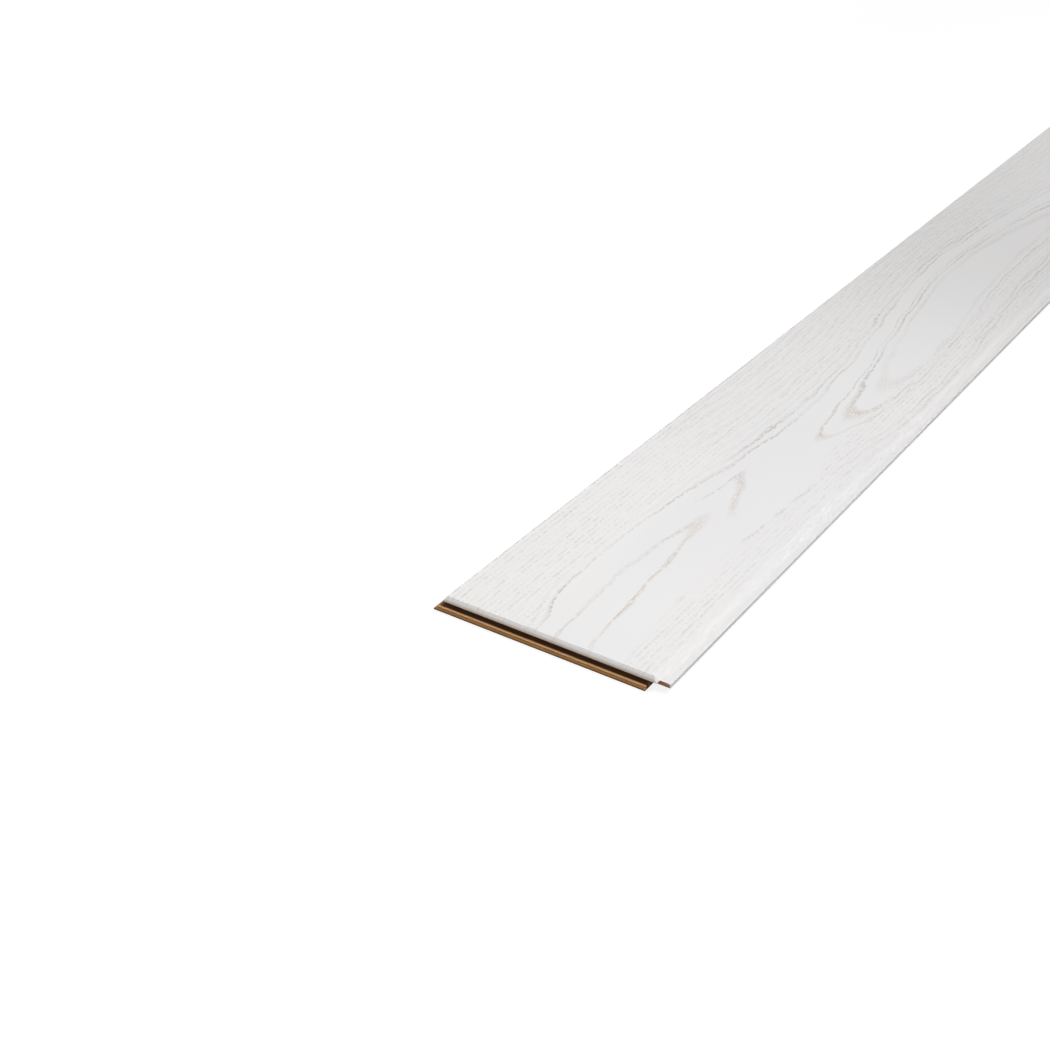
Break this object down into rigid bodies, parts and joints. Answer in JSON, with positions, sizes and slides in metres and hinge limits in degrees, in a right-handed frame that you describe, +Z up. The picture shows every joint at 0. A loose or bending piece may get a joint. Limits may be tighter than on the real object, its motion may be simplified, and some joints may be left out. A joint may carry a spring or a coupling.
{
  "type": "tongue and groove board",
  "caption": "Long flat lining board with matching tongue and groove edges, a bevelled face and lower lips that reach out under the neighbouring board.",
  "frame": {"origin": "middle of the underside of the whole board, lips and tongues counted", "axes": "+X across the width towards the long tongue, +Y along the length towards the tongued end, +Z up out of the decor face"},
  "size_m": [0.2166, 2.6096, 0.012],
  "materials": {
    "board": "satin white wood decor over fibreboard"
  },
  "bodies": {
    "root": {"board": "board"}
  },
  "joints": []
}
